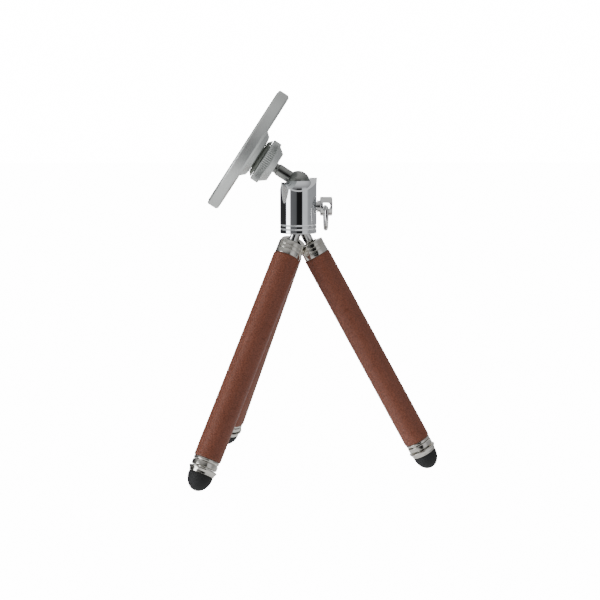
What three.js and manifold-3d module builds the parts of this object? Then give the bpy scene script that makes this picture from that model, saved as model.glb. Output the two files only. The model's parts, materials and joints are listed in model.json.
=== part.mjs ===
// Mini tabletop tripod and phone grip: a magnetic disc on a ball head, over three folding,
// telescoping legs wrapped in leather. Millimetres, +Z up, +X towards the clamp screw.
import * as THREE from 'three';
import { mergeVertices } from 'three/addons/utils/BufferGeometryUtils.js';
import Module from 'manifold-3d';

const wasm = await Module();
wasm.setup();

// ---- driving dimensions -------------------------------------------------------------

const DEG = Math.PI / 180;
const GAP = 0.15;                    // clearance between fitted pieces
const RUN = 0.3;                     // clearance between pieces that move on each other

const BARREL = {
  radius: 8,
  ridge: 24.2,                       // height of the ridge above the bottom edge
  roofPitch: 37 * DEG,               // fall of the top towards front and back
  flare: 0.3,                        // the wall widens a little towards the top
  flareStart: 20.5,
  edge: 0.35,
  grooves: [1.9, 3.6],               // heights of the two turned grooves
  grooveDepth: 0.3,
  grooveHalf: 0.32,
  bore: 5.6,
  floor: 6.4,                        // top of the web above the hub
  recess: 6.6,                       // radius of the pocket that takes the hub
  recessDepth: 4.0,
  screwHeight: 11.7,
  notchWidth: 6.2,
  notchDepth: 2.9,                   // below the centre of the ball
};

// The dome's outline is an arc about a point at this offset from the axis.
const DOME = { offset: 1.35, height: 18.6, size: 6, top: 45 };

const BALL = {
  radius: 5.2,
  height: 22,                        // centre of the ball above the bottom edge
  tilt: 56.9 * DEG,                  // stem from the vertical, towards -X
  stem: 2.65,
  stemEnd: 11.0,                     // distances along the stem from the ball's centre
  neck: 2.25,
  neckEnd: 23.7,
};

const NUT = { rear: 12.1, coneTop: 14.7, ribStart: 14.9, ribEnd: 18.7, rearRadius: 6.75,
  coneRadius: 8.7, ribRadius: 9.9, rootRadius: 9.5, ribs: 64, bore: 2.5 };
const BUSH = { start: 18.9, end: 20.6, wide: 9.4, narrow: 7.6, bore: 2.5 };
const BOSS = { start: 20.75, end: 23.05, tip: 8.3, shoulder: 9.6, base: 11.3, bore: 2.5 };
const DISC = { start: 23.2, end: 28.6, radius: 29, wall: 1.2, rim: 1.2, chamfer: 0.8, edge: 0.5 };
const PAD = { start: 27.7, face: 28.8, radius: 27.5, edge: 0.15 };
const MAGNET = { outer: 27, inner: 22.6, start: 25.6, end: 27.4 };
const SHIELD = { outer: 27.2, inner: 5.2, start: 24.6, end: 25.3 };

// Distances named top and end run down the leg; the hinge pin is at the one named pivot.
const LEG = {
  splay: 28.5 * DEG,                 // each leg from the vertical when open
  hingeRadius: 7.4,                  // hinge pins from the barrel's axis
  hingeDrop: 8.4,                    // hinge pins below the barrel's bottom edge
  pivot: 14.45,
  ferruleTop: 9.85,
  leatherTop: 16.05,
  leatherEnd: 109.5,
  collarTop: 109.65,
  collarEnd: 110.9,
  midCollarTop: 111.15,
  midCollarEnd: 113.4,
  flangeTop: 113.85,
  flangeEnd: 116.25,
  tip: 123.6,
  ferrule: 5.6,
  leather: 5.9,
  collar: 5.6,
  flange: 6.1,
  flangeNeck: 5.4,
  foot: 5.35,
  nose: 6.8,                         // length of the rounded end of the foot
};
const OUTER = { radius: 4.9, bore: 4.5, top: 16.15, end: 109.6 };
const MID = { radius: 4.1, bore: 3.75, top: 24, end: 111.05, bushing: 4.35, bushingLength: 5 };
const INNER = { radius: 3.3, bore: 2.9, top: 28, end: 113.75, bushing: 3.6, bushingLength: 5 };
const ARM = { radius: 2.1, pin: 0.55, pinHalf: 5.3 };

// Where each hinge stands round the barrel, and the way its leg swings out.
const LEGS = [
  { name: 'right', place: -4 * DEG, swing: -2.6 * DEG },
  { name: 'front', place: -129 * DEG, swing: -139.8 * DEG },
  { name: 'rear', place: 117 * DEG, swing: 126.4 * DEG },
];
const FOLD = 28 * DEG;
const WEDGE = 57 * DEG;              // half the angle round the barrel that one ferrule may fill

const SCREW = { tip: 2.2, shank: 1.9, wall: 8.2, collar: 2.65, headStart: 9.5, headEnd: 14.8,
  head: 4.15, windowStart: 10.7, windowEnd: 14.1, windowHalf: 1.65 };
const RING = { wire: 0.95, x: 12.0, drop: 0.55, half: 5.8, side: 3.4, corner: 1.2 };

// ---- materials ----------------------------------------------------------------------

const metal = (color, roughness) => new THREE.MeshStandardMaterial({ color, roughness, metalness: 1 });
const plain = (color, roughness) => new THREE.MeshStandardMaterial({ color, roughness, metalness: 0 });
const LOOK = {
  chrome: metal(0xd5d8dc, 0.06),
  nickel: metal(0xc4c0b8, 0.22),
  aluminium: metal(0x9a9da0, 0.45),
  darkSteel: metal(0x4a4c4d, 0.35),
  blackNickel: metal(0x3a3d3b, 0.3),
  brass: metal(0xb08d4f, 0.35),
  magnet: metal(0x8a8c8f, 0.4),
  leather: plain(0x6e3a22, 0.6),
  rubber: plain(0x1f1f20, 0.85),
  polymer: plain(0xe6e3da, 0.5),
};

// ---- shape helpers ------------------------------------------------------------------

// One closed mesh: shared corners joined, faces without area dropped.
function weld(geometry) {
  const bare = new THREE.BufferGeometry();
  bare.setAttribute('position', geometry.getAttribute('position').clone());
  if (geometry.index) bare.setIndex(geometry.index.clone());
  const merged = mergeVertices(bare, 1e-4);
  const old = merged.index.array;
  const kept = [];
  for (let i = 0; i < old.length; i += 3) {
    const [a, b, c] = [old[i], old[i + 1], old[i + 2]];
    if (a !== b && b !== c && c !== a) kept.push(a, b, c);
  }
  merged.setIndex(kept);
  return merged;
}

function solid(geometry, matrix = null) {
  const welded = weld(geometry);
  if (matrix) welded.applyMatrix4(matrix);
  const vertProperties = new Float32Array(welded.getAttribute('position').array);
  const triVerts = new Uint32Array(welded.index.array);
  return new wasm.Manifold(new wasm.Mesh({ numProp: 3, vertProperties, triVerts }));
}

function geometryOf(manifold) {
  const mesh = manifold.getMesh();
  const geometry = new THREE.BufferGeometry();
  geometry.setAttribute('position', new THREE.BufferAttribute(new Float32Array(mesh.vertProperties), 3));
  geometry.setIndex(new THREE.BufferAttribute(new Uint32Array(mesh.triVerts), 1));
  return geometry;
}

// Points of a circular arc in the (radius, height) plane.
function arc(radius, height, size, from, to, steps) {
  const points = [];
  for (let i = 0; i <= steps; i += 1) {
    const angle = (from + (to - from) * i / steps) * DEG;
    points.push([radius + size * Math.cos(angle), height + size * Math.sin(angle)]);
  }
  return points;
}

// A turned piece about Z. The outline runs up the outside, from the axis back to the axis.
function turned(outline, segments = 24) {
  const points = outline.map(([radius, height]) => new THREE.Vector2(Math.max(radius, 0), height));
  return weld(new THREE.LatheGeometry(points, segments).rotateX(Math.PI / 2));
}

// A turned ring: the outline runs up the outside and down the inside, and closes on itself.
const turnedRing = (outline, segments = 24) => turned([...outline, outline[0]], segments);

function tubeOutline(outer, inner, low, high, edge = 0.1) {
  return [
    [outer - edge, low],
    [outer, low + edge],
    [outer, high - edge],
    [outer - edge, high],
    [inner, high],
    [inner, low],
  ];
}

const tube = (outer, inner, low, high, edge, segments) =>
  turnedRing(tubeOutline(outer, inner, low, high, edge), segments);

function rod(radius, low, high, segments = 16) {
  return turned([[0, low], [radius, low], [radius, high], [0, high]], segments);
}

// A prism along Y from an outline in the XZ plane.
function prismY(shape, halfWidth, curveSegments = 8) {
  const geometry = new THREE.ExtrudeGeometry(shape, {
    depth: 2 * halfWidth,
    bevelEnabled: false,
    curveSegments,
  });
  return geometry.translate(0, 0, -halfWidth).rotateX(Math.PI / 2);
}

function piece(parent, name, geometry, look) {
  const mesh = new THREE.Mesh(geometry, look);
  mesh.name = name;
  parent.add(mesh);
  return mesh;
}

// ---- barrel, hub and clamp screw ----------------------------------------------------

function barrelOutline() {
  const { radius, ridge, edge, grooves, grooveDepth, grooveHalf, recess, recessDepth } = BARREL;
  const points = [[recess, 0], [radius - edge, 0], [radius, edge]];
  for (const height of grooves) {
    points.push([radius, height - grooveHalf]);
    points.push([radius - grooveDepth, height]);
    points.push([radius, height + grooveHalf]);
  }
  points.push([radius, BARREL.flareStart], [radius + BARREL.flare, ridge + 1]);
  points.push([BARREL.bore, ridge + 1], [BARREL.bore, BARREL.floor]);
  points.push([1.8, BARREL.floor], [1.8, recessDepth], [recess, recessDepth]);
  return points;
}

// The wall from the socket up is thick: the bore narrows to a spherical socket for the ball.
function socketCollar() {
  const low = BALL.height - 3;
  return tube(BARREL.bore + 0.6, 4.4, low, BARREL.ridge + 1, 0, 24);
}

// The top: a gable whose ridge runs along X and whose sides bulge a little, and through it a
// dome that closes round the ball as a lip.
function roof() {
  const { ridge, roofPitch } = BARREL;
  const half = BARREL.radius + 1;
  const fall = half * Math.tan(roofPitch);
  const crest = 0.35;
  const shape = new THREE.Shape();
  shape.moveTo(-half, -1);
  shape.lineTo(half, -1);
  shape.lineTo(half, ridge - fall);
  shape.quadraticCurveTo(half * 0.45, ridge - fall * 0.38, crest, ridge - 0.1);
  shape.lineTo(0, ridge);
  shape.lineTo(-crest, ridge - 0.1);
  shape.quadraticCurveTo(-half * 0.45, ridge - fall * 0.38, -half, ridge - fall);
  return prismY(shape, half, 6).rotateZ(Math.PI / 2);
}

function dome() {
  const { offset, height, size, top } = DOME;
  const side = arc(offset, height, size, 0, top, 6);
  return turned([[0, -1], [offset + size, -1], ...side, [0, side.at(-1)[1]]], 36);
}

function notch() {
  const half = BARREL.notchWidth / 2;
  const centre = BALL.height - BARREL.notchDepth + half;
  const shape = new THREE.Shape();
  shape.moveTo(-half, centre);
  shape.absarc(0, centre, half, Math.PI, 2 * Math.PI, false);
  shape.lineTo(half, BARREL.ridge + 2);
  shape.lineTo(-half, BARREL.ridge + 2);
  shape.closePath();
  return prismY(shape, 5).rotateZ(Math.PI / 2).translate(-5, 0, 0);
}

function barrel() {
  const ball = new THREE.SphereGeometry(BALL.radius + RUN, 24, 16).translate(0, 0, BALL.height);
  const screwHole = rod(SCREW.shank + GAP, 0, BARREL.radius + 1).rotateY(Math.PI / 2);
  screwHole.translate(0, 0, BARREL.screwHeight);
  const body = solid(turnedRing(barrelOutline(), 36))
    .add(solid(socketCollar()))
    .intersect(solid(roof()).add(solid(dome())))
    .subtract(solid(ball))
    .subtract(solid(notch()))
    .subtract(solid(screwHole));
  return geometryOf(body);
}

// The cup that the clamp screw lifts against the ball.
function brakeCup() {
  const low = BARREL.screwHeight + SCREW.shank + 0.4;
  const high = BALL.height - 3.3;
  const radius = BARREL.bore - RUN;
  const cup = solid(turned([
    [0, low],
    [2.2, low],
    [3.2, low + 1.2],
    [radius, low + 1.6],
    [radius, high],
    [0, high],
  ], 24));
  const seat = new THREE.SphereGeometry(BALL.radius + 0.25, 24, 16).translate(0, 0, BALL.height);
  return geometryOf(cup.subtract(solid(seat)));
}

function hubScrew() {
  const head = BARREL.floor + GAP;
  const screw = solid(turned([
    [0, 1.4],
    [1.2, 1.4],
    [1.5, 1.8],
    [1.5, head],
    [2.7, head],
    [2.7, head + 1.6],
    [2.4, head + 1.9],
    [0, head + 1.9],
  ]));
  const socket = new THREE.CylinderGeometry(1.35, 1.35, 2.4, 6).rotateX(Math.PI / 2);
  return geometryOf(screw.subtract(solid(socket.translate(0, 0, head + 1.9))));
}

function clampScrew() {
  const { tip, shank, wall, collar, headStart, headEnd, head } = SCREW;
  const body = turned([
    [0, tip],
    [1.6, tip + 1.4],
    [shank, tip + 1.6],
    [shank, wall],
    [collar, wall],
    [collar, headStart],
    [head - 0.3, headStart],
    [head, headStart + 0.3],
    [head, headEnd - 0.4],
    [head - 0.4, headEnd],
    [0, headEnd],
  ]).rotateY(Math.PI / 2);
  const shape = new THREE.Shape();
  const half = SCREW.windowHalf;
  shape.moveTo(SCREW.windowStart, -half);
  shape.lineTo(SCREW.windowEnd - half, -half);
  shape.absarc(SCREW.windowEnd - half, 0, half, -Math.PI / 2, Math.PI / 2, false);
  shape.lineTo(SCREW.windowStart, half);
  shape.closePath();
  return geometryOf(solid(body).subtract(solid(prismY(shape, head + 1))));
}

// A closed wire loop: a straight bar through the screw's window, and a half-round below it.
function pullRing() {
  const { half, side, corner } = RING;
  const path = new THREE.Path();
  path.moveTo(-half + corner, 0);
  path.lineTo(half - corner, 0);
  path.absarc(half - corner, -corner, corner, Math.PI / 2, 0, true);
  path.lineTo(half, -side);
  path.absarc(0, -side, half, 0, -Math.PI, true);
  path.lineTo(-half, -corner);
  path.absarc(-half + corner, -corner, corner, Math.PI, Math.PI / 2, true);
  const points = path.getSpacedPoints(36).slice(0, -1).map((p) => new THREE.Vector3(0, p.x, p.y));
  const curve = new THREE.CatmullRomCurve3(points, true, 'centripetal');
  return weld(new THREE.TubeGeometry(curve, 36, RING.wire, 8, true));
}

// ---- ball, stem, nut and disc, all turned about the stem ----------------------------

function ballStem() {
  const { radius, stem, stemEnd, neck, neckEnd } = BALL;
  const join = Math.acos(stem / radius) / DEG;
  const body = solid(turned([
    ...arc(0, 0, radius, -90, join, 10),
    [stem, stemEnd - 0.5],
    [stem - 0.3, stemEnd],
    [neck, stemEnd],
    [neck, neckEnd],
    [0, neckEnd],
  ]));
  return geometryOf(body.subtract(solid(rod(1.15, neckEnd - 4, neckEnd + 1, 16))));
}

function stemScrew() {
  const seat = BALL.neckEnd + GAP;
  return turned([
    [0, seat - 3.4],
    [1.0, seat - 3.4],
    [1.0, seat],
    [3.4, seat],
    [3.4, seat + 0.9],
    [2.6, seat + 1.6],
    [0, seat + 1.6],
  ]);
}

function lockNut() {
  const { rear, coneTop, ribStart, ribEnd, ribs, ribRadius, rootRadius, bore } = NUT;
  const shape = new THREE.Shape();
  const step = Math.PI / ribs;
  for (let i = 0; i < 2 * ribs; i += 1) {
    const radius = i % 2 === 0 ? ribRadius : rootRadius;
    const corner = [radius * Math.cos(i * step), radius * Math.sin(i * step)];
    if (i === 0) shape.moveTo(...corner);
    else shape.lineTo(...corner);
  }
  shape.closePath();
  const ribbed = new THREE.ExtrudeGeometry(shape, { depth: ribEnd - ribStart, bevelEnabled: false });
  const cone = turned([
    [0, rear],
    [NUT.rearRadius, rear],
    [NUT.coneRadius, coneTop],
    [NUT.coneRadius, ribStart + 0.5],
    [0, ribStart + 0.5],
  ], 32);
  const body = solid(ribbed.translate(0, 0, ribStart)).add(solid(cone));
  return geometryOf(body.subtract(solid(rod(bore, rear - 1, ribEnd + 1))));
}

function swivelBush() {
  const { start, end, wide, narrow, bore } = BUSH;
  return turnedRing([
    [wide - 0.2, start],
    [wide, start + 0.2],
    [narrow, end],
    [bore, end],
    [bore, start],
  ], 32);
}

function discBoss() {
  const { start, end, tip, shoulder, base, bore } = BOSS;
  return turnedRing([
    [tip, start],
    [shoulder, start + 0.35],
    [base, end - 0.1],
    [base, end],
    [bore, end],
    [bore, start],
  ], 32);
}

function discShell() {
  const { start, end, radius, wall, rim, chamfer, edge } = DISC;
  return turnedRing([
    [radius - chamfer, start],
    [radius, start + chamfer],
    [radius, end - edge],
    [radius - edge * 0.3, end - edge * 0.3],
    [radius - edge, end],
    [radius - rim, end],
    [radius - rim, start + wall],
    [4.2, start + wall],
    [4.2, start + 0.3],
    [3.2, start + 0.3],
    [3.2, start],
  ], 48);
}

function facePad() {
  const { start, face, radius, edge } = PAD;
  return turned([
    [0, start],
    [radius, start],
    [radius, face - edge],
    [radius - edge, face],
    [0, face],
  ], 48);
}

// ---- one leg, along its own +Z, which runs down through the hinge pin ---------------

const LEG_SEGMENTS = 16;

// The room that the hub's arm needs in the ferrule, from open to folded.
function armSlot() {
  const room = ARM.radius + RUN;
  const shape = new THREE.Shape();
  const turn = FOLD + 0.5 * DEG;
  const start = [-room * Math.cos(turn), LEG.pivot + room * Math.sin(turn)];
  const run = (start[1] - LEG.ferruleTop + 2.5) / Math.cos(turn);
  shape.moveTo(room, LEG.ferruleTop - 2.5);
  shape.lineTo(room, LEG.pivot);
  shape.absarc(0, LEG.pivot, room, 0, Math.PI - turn, false);
  shape.lineTo(start[0] - run * Math.sin(turn), start[1] - run * Math.cos(turn));
  shape.closePath();
  return prismY(shape, room);
}

// The wedge of space between its neighbours that a ferrule may fill.
function wedge(place) {
  const reach = 60;
  const apex = GAP / Math.sin(WEDGE);
  const far = apex + reach * Math.cos(WEDGE);
  const side = reach * Math.sin(WEDGE);
  const shape = new THREE.Shape();
  shape.moveTo(apex, 0);
  shape.lineTo(far, -side);
  shape.lineTo(far, side);
  shape.closePath();
  const prism = new THREE.ExtrudeGeometry(shape, { depth: 2 * reach, bevelEnabled: false });
  return prism.translate(0, 0, -reach).rotateZ(place);
}

function pinHole() {
  return solid(rod(ARM.pin + GAP, -8, 8, 12).rotateX(Math.PI / 2).translate(0, 0, LEG.pivot));
}

function ferrule(place, toLeg) {
  const top = LEG.ferruleTop;
  const end = LEG.leatherTop - 0.1;
  const size = LEG.ferrule;
  const spigot = OUTER.bore - GAP;
  const body = turned([
    [0, top - 0.9],
    [2.75, top - 0.9],
    [3.3, top],
    [size - 0.25, top],
    [size, top + 0.25],
    [size, top + 1.9],
    [size - 0.25, top + 2.02],
    [size, top + 2.15],
    [size, top + 3.55],
    [size - 0.25, top + 3.67],
    [size, top + 3.8],
    [size, end],
    [spigot, end],
    [spigot, end + 6],
    [0, end + 6],
  ], LEG_SEGMENTS);
  return geometryOf(solid(body)
    .subtract(solid(armSlot()))
    .subtract(pinHole())
    .intersect(solid(wedge(place), toLeg)));
}

function leatherSleeve() {
  const { leather, leatherTop, leatherEnd } = LEG;
  const inner = OUTER.radius + GAP / 2;
  return turnedRing([
    [leather - 0.45, leatherTop],
    [leather - 0.13, leatherTop + 0.13],
    [leather, leatherTop + 0.45],
    [leather, leatherEnd - 0.45],
    [leather - 0.13, leatherEnd - 0.13],
    [leather - 0.45, leatherEnd],
    [inner, leatherEnd],
    [inner, leatherTop],
  ], LEG_SEGMENTS);
}

function beadCollar(outer, inner, top, end) {
  return turnedRing([
    [outer - 0.3, top],
    [outer, top + 0.3],
    [outer, end - 0.3],
    [outer - 0.3, end],
    [inner, end],
    [inner, top],
  ], LEG_SEGMENTS);
}

// A flange that tapers down to the foot, with a plug up into the tube and a stud for the rubber.
function footFlange() {
  const { flange, flangeNeck, flangeTop, flangeEnd } = LEG;
  const plug = INNER.bore - GAP;
  return turned([
    [0, flangeTop - 6],
    [plug, flangeTop - 6],
    [plug, flangeTop],
    [flange - 0.2, flangeTop],
    [flange, flangeTop + 0.2],
    [flange, flangeTop + 0.6],
    [flangeNeck + 0.1, flangeTop + 1.5],
    [flangeNeck, flangeEnd],
    [1.8, flangeEnd],
    [1.8, flangeEnd + 3],
    [0, flangeEnd + 3],
  ], LEG_SEGMENTS);
}

// A bullet-shaped foot pushed onto the flange's stud.
function rubberFoot() {
  const { foot, nose, tip, flangeEnd } = LEG;
  const top = flangeEnd + GAP;
  const end = arc(0, 0, 1, 0, 90, 7).map(([x, y]) => [x * foot, tip - nose + y * nose]);
  return turned([
    [0, top + 3.2],
    [2.0, top + 3.2],
    [2.0, top],
    [foot - 0.25, top],
    ...end,
  ], LEG_SEGMENTS);
}

// Legs stand in a frame whose +Z runs down the leg and whose +X points out and up.
function legMatrix({ place, swing }) {
  const out = new THREE.Vector3(Math.cos(swing), Math.sin(swing), 0);
  const up = new THREE.Vector3(0, 0, 1);
  const down = out.clone().multiplyScalar(Math.sin(LEG.splay)).addScaledVector(up, -Math.cos(LEG.splay));
  const side = out.clone().multiplyScalar(Math.cos(LEG.splay)).addScaledVector(up, Math.sin(LEG.splay));
  const across = down.clone().cross(side);
  const start = new THREE.Vector3(Math.cos(place), Math.sin(place), 0).multiplyScalar(LEG.hingeRadius);
  start.z = -LEG.hingeDrop;
  start.addScaledVector(down, -LEG.pivot);
  return new THREE.Matrix4().makeBasis(side, across, down).setPosition(start);
}

function addLeg(parent, leg) {
  const matrix = legMatrix(leg);
  const group = new THREE.Group();
  group.applyMatrix4(matrix);
  parent.add(group);
  const add = (label, geometry, look) => piece(group, `${leg.name}_${label}`, geometry, look);
  add('ferrule', ferrule(leg.place, matrix.clone().invert()), LOOK.nickel);
  const pin = rod(ARM.pin, -ARM.pinHalf, ARM.pinHalf, 12).rotateX(Math.PI / 2);
  add('hinge_pin', pin.translate(0, 0, LEG.pivot), LOOK.darkSteel);
  add('outer_tube', tube(OUTER.radius, OUTER.bore, OUTER.top, OUTER.end, 0.05, LEG_SEGMENTS), LOOK.aluminium);
  add('leather_sleeve', leatherSleeve(), LOOK.leather);
  add('lower_collar', beadCollar(LEG.collar, MID.radius + GAP, LEG.collarTop, LEG.collarEnd), LOOK.nickel);
  add('mid_tube', tube(MID.radius, MID.bore, MID.top, MID.end, 0.05, LEG_SEGMENTS), LOOK.nickel);
  const midRing = tube(MID.bushing, MID.radius + 0.08, MID.top, MID.top + MID.bushingLength, 0, LEG_SEGMENTS);
  add('mid_bushing', midRing, LOOK.polymer);
  const pull = beadCollar(LEG.collar, INNER.radius + GAP, LEG.midCollarTop, LEG.midCollarEnd);
  add('mid_collar', pull, LOOK.nickel);
  add('inner_tube', tube(INNER.radius, INNER.bore, INNER.top, INNER.end, 0.05, LEG_SEGMENTS), LOOK.nickel);
  const innerEnd = INNER.top + INNER.bushingLength;
  const innerRing = tube(INNER.bushing, INNER.radius + 0.08, INNER.top, innerEnd, 0, LEG_SEGMENTS);
  add('inner_bushing', innerRing, LOOK.polymer);
  add('foot_flange', footFlange(), LOOK.nickel);
  add('rubber_foot', rubberFoot(), LOOK.rubber);
}

// The hub: a plug in the barrel's foot with one arm down into each ferrule.
function hub() {
  let body = solid(turned([
    [0, 0.1],
    [BARREL.recess - RUN - 0.3, 0.1],
    [BARREL.recess - RUN, 0.4],
    [BARREL.recess - RUN, BARREL.recessDepth - GAP],
    [0, BARREL.recessDepth - GAP],
  ], 32));
  for (const leg of LEGS) {
    const matrix = legMatrix(leg);
    const arm = solid(rod(ARM.radius, 3, LEG.pivot))
      .add(solid(new THREE.SphereGeometry(ARM.radius, 16, 10).translate(0, 0, LEG.pivot)))
      .subtract(pinHole());
    body = body.add(arm.transform(matrix.elements));
  }
  return geometryOf(body.subtract(solid(rod(1.5 + GAP, 1, 6))));
}

// ---- assembly -----------------------------------------------------------------------

const model = new THREE.Group();
piece(model, 'barrel', barrel(), LOOK.chrome);
piece(model, 'brake_cup', brakeCup(), LOOK.brass);
piece(model, 'leg_hub', hub(), LOOK.darkSteel);
piece(model, 'hub_screw', hubScrew(), LOOK.darkSteel);

const clamp = new THREE.Group();
clamp.position.set(0, 0, BARREL.screwHeight);
model.add(clamp);
piece(clamp, 'clamp_screw', clampScrew(), LOOK.nickel);
const ring = piece(clamp, 'pull_ring', pullRing(), LOOK.nickel);
ring.position.set(RING.x, 0, -RING.drop);

const head = new THREE.Group();
head.position.set(0, 0, BALL.height);
head.rotation.set(0, -BALL.tilt, 0);
model.add(head);
piece(head, 'ball_stem', ballStem(), LOOK.darkSteel);
piece(head, 'stem_screw', stemScrew(), LOOK.darkSteel);
piece(head, 'lock_nut', lockNut(), LOOK.aluminium);
piece(head, 'swivel_bush', swivelBush(), LOOK.blackNickel);
piece(head, 'disc_boss', discBoss(), LOOK.aluminium);
piece(head, 'disc_shell', discShell(), LOOK.aluminium);
piece(head, 'shield_plate', tube(SHIELD.outer, SHIELD.inner, SHIELD.start, SHIELD.end, 0, 48), LOOK.darkSteel);
piece(head, 'magnet_ring', tube(MAGNET.outer, MAGNET.inner, MAGNET.start, MAGNET.end, 0.1, 48), LOOK.magnet);
piece(head, 'face_pad', facePad(), LOOK.rubber);

for (const leg of LEGS) addLeg(model, leg);

// The origin is the middle of the object's box, on the surface it stands on.
const box = new THREE.Box3().setFromObject(model, true);
const middle = box.getCenter(new THREE.Vector3());
model.position.set(-middle.x, -middle.y, -box.min.z);

export default model;
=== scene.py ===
# Looks for the mini tabletop tripod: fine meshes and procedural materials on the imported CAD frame.
import json
import math

import bmesh
import bpy
from mathutils import Matrix, Vector, noise

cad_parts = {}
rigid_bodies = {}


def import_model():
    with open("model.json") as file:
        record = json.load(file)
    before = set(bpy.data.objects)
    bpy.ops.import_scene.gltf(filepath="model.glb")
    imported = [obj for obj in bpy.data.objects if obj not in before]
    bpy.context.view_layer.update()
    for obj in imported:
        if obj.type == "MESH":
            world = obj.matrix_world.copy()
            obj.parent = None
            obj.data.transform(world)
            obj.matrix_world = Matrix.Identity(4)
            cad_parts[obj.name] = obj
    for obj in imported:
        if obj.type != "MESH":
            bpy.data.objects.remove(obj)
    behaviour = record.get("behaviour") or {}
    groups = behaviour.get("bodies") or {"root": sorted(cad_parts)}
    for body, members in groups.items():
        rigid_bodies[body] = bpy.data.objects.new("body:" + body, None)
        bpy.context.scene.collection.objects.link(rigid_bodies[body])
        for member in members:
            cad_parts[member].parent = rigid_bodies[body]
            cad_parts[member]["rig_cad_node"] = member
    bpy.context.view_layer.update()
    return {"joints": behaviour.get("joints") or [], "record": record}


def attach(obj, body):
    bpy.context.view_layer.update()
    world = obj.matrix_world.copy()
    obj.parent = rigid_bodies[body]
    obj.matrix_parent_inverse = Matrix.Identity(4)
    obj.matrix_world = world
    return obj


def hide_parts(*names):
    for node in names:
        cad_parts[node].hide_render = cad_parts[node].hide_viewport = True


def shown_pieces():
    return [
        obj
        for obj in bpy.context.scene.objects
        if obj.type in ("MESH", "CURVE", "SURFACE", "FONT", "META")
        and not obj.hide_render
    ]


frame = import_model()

MM = 0.001
JOINTS = {joint["name"]: joint for joint in frame["joints"]}
LEGS = ("right", "front", "rear")

# ---- dimensions, in millimetres, as the CAD has them ---------------------------------

BALL_HEIGHT = 22.0
BARREL = dict(
    radius=8.0, ridge=24.2, roof=37.0, flare=0.3, flare_start=20.5, bore=5.6, recess=6.6, notch=6.2,
    notch_depth=2.9, screw_height=11.7, grooves=(1.9, 3.6), groove_half=0.36, groove_depth=0.28,
    throat=4.4, floor=6.4, recess_depth=4.0, hub_screw=1.8, screw_hole=2.05, socket=5.32,
)
HUB = dict(radius=6.3, low=0.1, high=3.85, bore=1.65)
ARM = dict(start=3.0, radius=2.1, pin_hole=0.7)
PIN = dict(radius=0.55, half=5.32, hole=0.62)
SCREW = dict(
    tip=2.2, shank=1.9, wall=8.2, collar=2.65, waist=2.35, head=4.15, head_start=9.5, head_end=14.8,
    window_start=10.7, window_end=14.1, window_half=1.65,
)
RING = dict(x=12.0, drop=0.55, half=5.8, side=3.4, corner=1.2, wire=0.95)
DOME = dict(offset=1.35, height=18.6, size=6.0, top=45.0)
PIVOT = 14.45
FERRULE_TOP = 9.85
LEATHER_TOP = 16.05
LEATHER_END = 109.5
LEATHER = 5.9
FLANGE_TOP = 113.85
FLANGE_END = 116.25
FOOT_TIP = 123.6
FERRULE = 5.6
COLLAR = 5.6
FLANGE = 6.1
FLANGE_NECK = 5.4
FOOT = 5.35
NOSE = 6.8                           # length of the rounded end of the foot
GAP = 0.15
SLEEVE_BORE = 4.98
SPIGOT = 4.35                        # the part of the ferrule inside the outer tube
FERRULE_GROOVES = (2.02, 3.67)       # below the ferrule's top
LOWER_COLLAR = (109.65, 110.9)
MIDDLE_COLLAR = (111.15, 113.4)
TUBES = {"mid_tube": (4.1, 3.75, 24, 111.05), "inner_tube": (3.3, 2.9, 28, 113.75)}
FOLD = 28.0
ARM_ROOM = 2.4
WEDGE = 57.0

BALL_RADIUS = 5.2
STEM = 2.65
NECK = 2.25
STEM_BORE = 1.15
DISC_RADIUS = 29.0
PAD_RADIUS = 27.5

# Distances along the stem from the ball's centre.
STEM_END = 11.0
NECK_END = 23.7
NUT_REAR = 12.1
RIB_START = 14.9
RIB_END = 18.7
BUSH_START = 18.9
BOSS_START = 20.75
DISC_START = 23.2
DISC_END = 28.6
PAD_START = 27.7
PAD_FACE = 28.8


# ---- frames ---------------------------------------------------------------------------

def basis(x_axis, y_axis, z_axis, origin):
    matrix = Matrix.Identity(4)
    for column, vector in enumerate((x_axis, y_axis, z_axis, origin)):
        for row in range(3):
            matrix[row][column] = vector[row]
    return matrix


def barrel_frame():
    centre = Vector(JOINTS["ball_tilt"]["pos_m"])
    return Matrix.Translation(centre - Vector((0, 0, BALL_HEIGHT * MM)))


def head_frame():
    centre = Vector(JOINTS["ball_tilt"]["pos_m"])
    stem = Vector(JOINTS["disc_turn"]["axis"]).normalized()
    across = Vector((0, 1, 0))
    return basis(across.cross(stem), across, stem, centre)


def leg_frame(leg):
    """+Z down the leg, +X out and up, origin where the leg lines meet."""
    down = Vector(JOINTS[leg + "_middle_slide"]["axis"]).normalized()
    across = Vector(JOINTS[leg + "_leg_fold"]["axis"]).normalized()
    pivot = Vector(JOINTS[leg + "_leg_fold"]["pos_m"])
    return basis(across.cross(down), across, down, pivot - down * PIVOT * MM)


# ---- mesh helpers ---------------------------------------------------------------------

def rounded(outline, steps=4):
    """Corners given as (radius, height, fillet) become arcs of that fillet."""
    points = []
    for index, corner in enumerate(outline):
        fillet = corner[2] if len(corner) > 2 else 0
        here = Vector(corner[:2])
        if not fillet:
            points.append(here)
            continue
        before = Vector(outline[index - 1][:2]) - here
        after = Vector(outline[(index + 1) % len(outline)][:2]) - here
        opening = before.angle(after)
        reach = fillet / math.tan(opening / 2)
        start = here + before.normalized() * reach
        end = here + after.normalized() * reach
        middle = (before.normalized() + after.normalized()).normalized()
        centre = here + middle * fillet / math.sin(opening / 2)
        first = start - centre
        last = end - centre
        turn = first.angle_signed(last)
        for step in range(steps + 1):
            spun = Matrix.Rotation(-turn * step / steps, 2) @ first
            points.append(centre + spun)
    return [(point.x, point.y) for point in points]


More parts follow.
